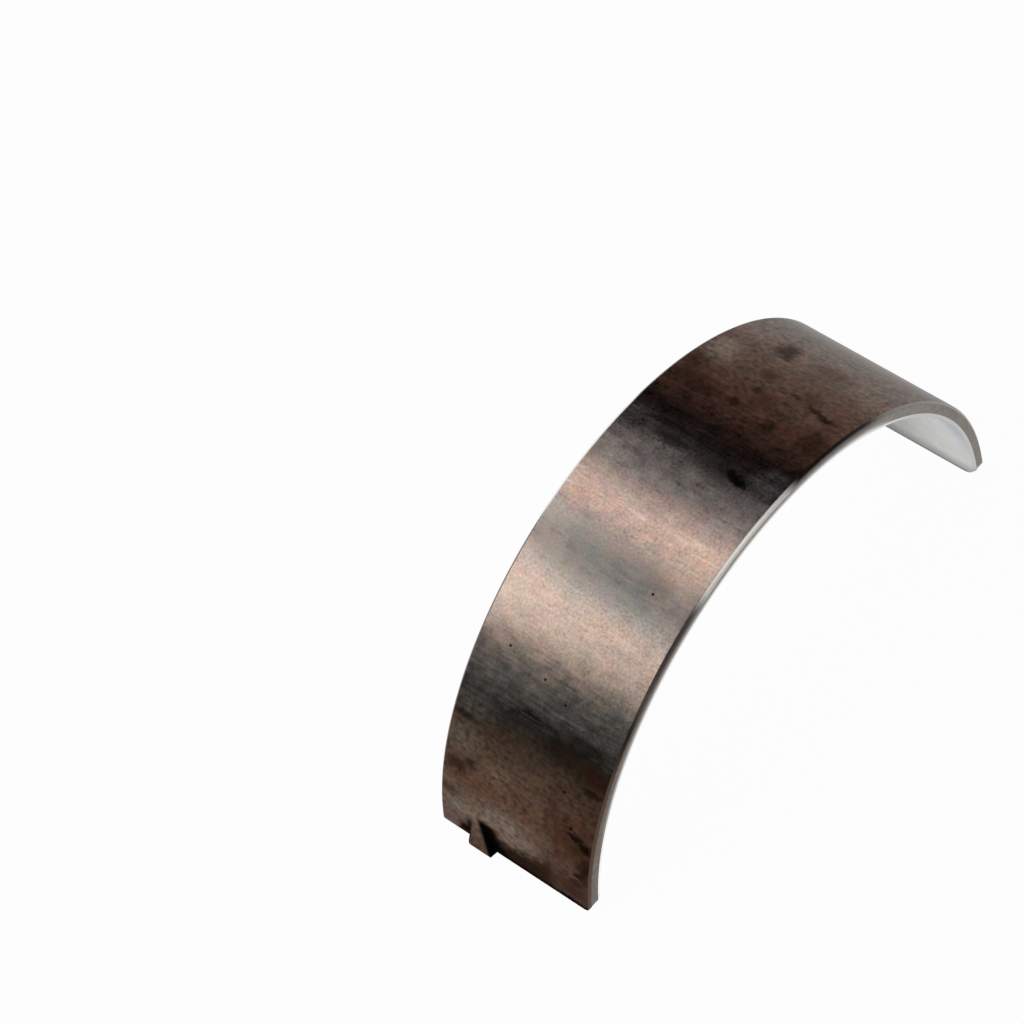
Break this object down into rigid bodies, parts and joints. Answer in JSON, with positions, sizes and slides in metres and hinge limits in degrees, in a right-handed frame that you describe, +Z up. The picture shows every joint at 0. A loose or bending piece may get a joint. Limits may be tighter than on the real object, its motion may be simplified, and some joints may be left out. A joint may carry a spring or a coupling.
{
  "type": "engine bearing shell",
  "caption": "Plain half-shell journal bearing: thin steel arc with a bonded alloy lining, chamfered side edges and a bent-out locating tang.",
  "frame": {"origin": "in the parting plane, midway between the two parting faces and midway along the shell's width", "axes": "+X across the parting faces, away from the tang; +Y along the bore axis, towards the side that the tang is nearer to; +Z up to the crown"},
  "size_m": [0.0596, 0.017, 0.0277],
  "materials": {
    "steel_back": "tarnished brown, fine brushed lines along the axis",
    "bearing_lining": "fine bored satin"
  },
  "bodies": {
    "root": {"steel_back": "steel_back", "bearing_lining": "bearing_lining"}
  },
  "joints": []
}
